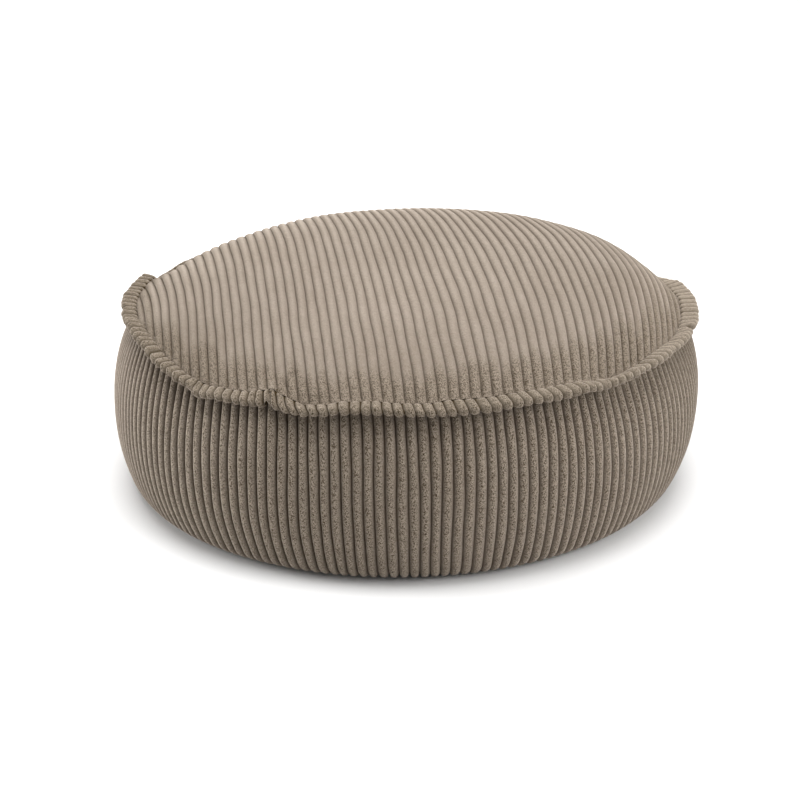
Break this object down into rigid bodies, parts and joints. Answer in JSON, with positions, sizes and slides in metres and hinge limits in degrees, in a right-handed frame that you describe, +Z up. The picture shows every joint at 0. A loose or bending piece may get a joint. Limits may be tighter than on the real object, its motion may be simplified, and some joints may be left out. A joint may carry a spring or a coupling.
{
  "type": "round floor cushion",
  "caption": "Low round filled floor cushion in wide-wale corduroy, with a crowned top, a bulged side band and a folded flange in the top seam.",
  "frame": {"origin": "middle of the outline seen from above, on the floor plane under the cushion", "axes": "+Z up through the crown, -Y towards the front, +X to the right seen from the front; the wales of the top panel run along Y"},
  "size_m": [0.6005, 0.6, 0.2203],
  "materials": {
    "corduroy": "wide-wale polyester corduroy with a soft brushed pile, taupe grey",
    "flange_corduroy": "the same wide-wale corduroy, folded, its wales across the strip"
  },
  "bodies": {
    "root": {"cushion": "corduroy", "flange": "flange_corduroy"}
  },
  "joints": []
}
